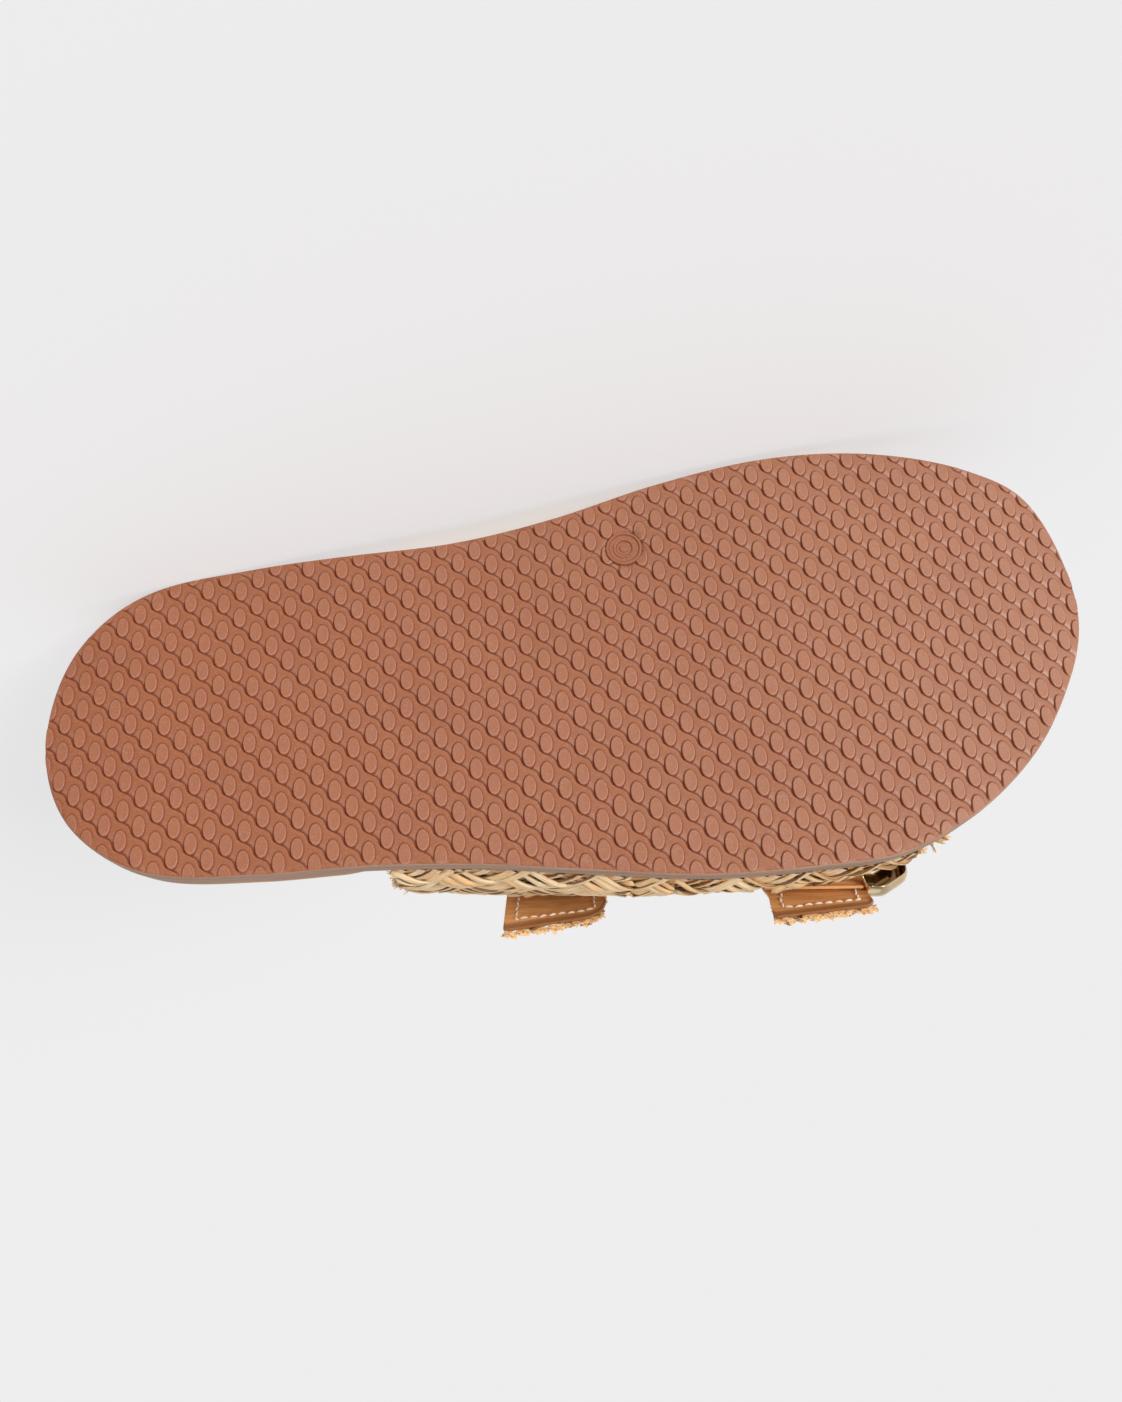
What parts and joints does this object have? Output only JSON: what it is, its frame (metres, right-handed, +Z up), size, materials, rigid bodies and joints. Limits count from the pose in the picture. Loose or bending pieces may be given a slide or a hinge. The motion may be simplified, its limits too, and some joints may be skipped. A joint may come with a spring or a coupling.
{
  "type": "raffia slide sandal",
  "caption": "Flat left-foot slide sandal lying on its medial side: patterned rubber sole, leather footbed and a woven raffia upper whose straps close with prong buckles.",
  "frame": {"origin": "on the floor under the middle of the sandal's box, as the sandal lies on its medial side", "axes": "+X along the sole towards the heel, +Y from the tread into the foot's space, +Z up, towards the lateral side"},
  "size_m": [0.2584, 0.0882, 0.1171],
  "materials": {
    "brown_rubber": "satin moulded rubber",
    "tan_leather": "smooth lining leather",
    "woven_raffia": "plaited natural raffia",
    "pale_gold": "polished pale gold plating"
  },
  "bodies": {
    "root": {"outsole": "brown_rubber", "insole": "tan_leather", "upper": "woven_raffia", "lateral_panel": "woven_raffia", "buckle_frame_rear": "pale_gold", "buckle_frame_front": "pale_gold", "buckle_prong_rear": "pale_gold", "buckle_prong_front": "pale_gold"}
  },
  "joints": []
}
